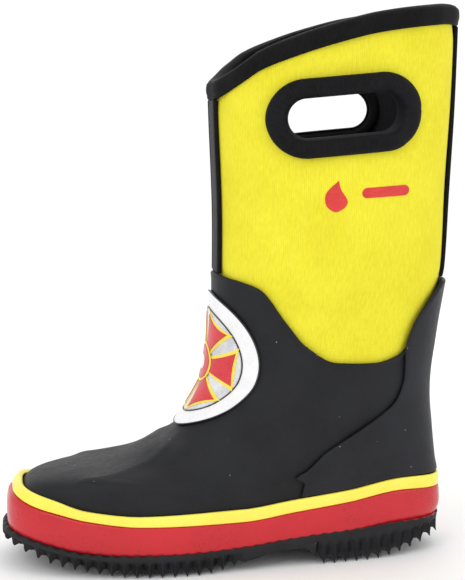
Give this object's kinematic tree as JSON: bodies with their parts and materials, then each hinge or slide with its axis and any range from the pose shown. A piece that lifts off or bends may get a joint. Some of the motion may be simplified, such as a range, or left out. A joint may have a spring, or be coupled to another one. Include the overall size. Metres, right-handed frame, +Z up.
{
  "type": "rain boot",
  "caption": "Pull-on child's rain boot in firefighter colours: rubber shell and lugged sole, neoprene shaft with handle holes, lift-up footbed.",
  "frame": {"origin": "centre of the bounding box's footprint, on the surface that the lugs stand on", "axes": "+Z up, the toe points to -X, the outer side of the foot faces -Y"},
  "size_m": [0.2272, 0.0898, 0.2726],
  "materials": {
    "tread": "matte lugged rubber",
    "foxing_red": "semi-gloss rubber",
    "foxing_yellow": "semi-gloss rubber",
    "shell": "satin rubber",
    "binding": "satin rubber",
    "rim": "satin moulded rubber",
    "neoprene": "knit-faced neoprene",
    "strip": "dark knit-faced neoprene",
    "lining": "knit lining",
    "foam": "closed-cell foam",
    "board": "fibre board",
    "badge": "printed satin rubber",
    "print": "matte print"
  },
  "bodies": {
    "boot": {"outsole": "tread", "foxing_band": "foxing_red", "foxing_stripe": "foxing_yellow", "midsole_filler": "foam", "insole_board": "board", "vamp_shell": "shell", "heel_counter": "shell", "toe_puff": "board", "inner_sock": "lining", "lateral_panel": "neoprene", "medial_panel": "neoprene", "front_strip": "strip", "back_strip": "binding", "front_seam_tape": "lining", "back_seam_tape": "lining", "collar_binding": "binding", "lateral_handle_rim": "rim", "medial_handle_rim": "rim", "badge": "badge", "flame_print": "print", "bar_print": "print"},
    "footbed": {"footbed": "foam", "footbed_cover": "lining"}
  },
  "joints": [
    {"name": "footbed_lift", "type": "hinge", "parent": "boot", "child": "footbed", "pos_m": [-0.0987, 0, 0.02203], "axis": [0, -1, 0], "range_deg": [0, 12]}
  ]
}
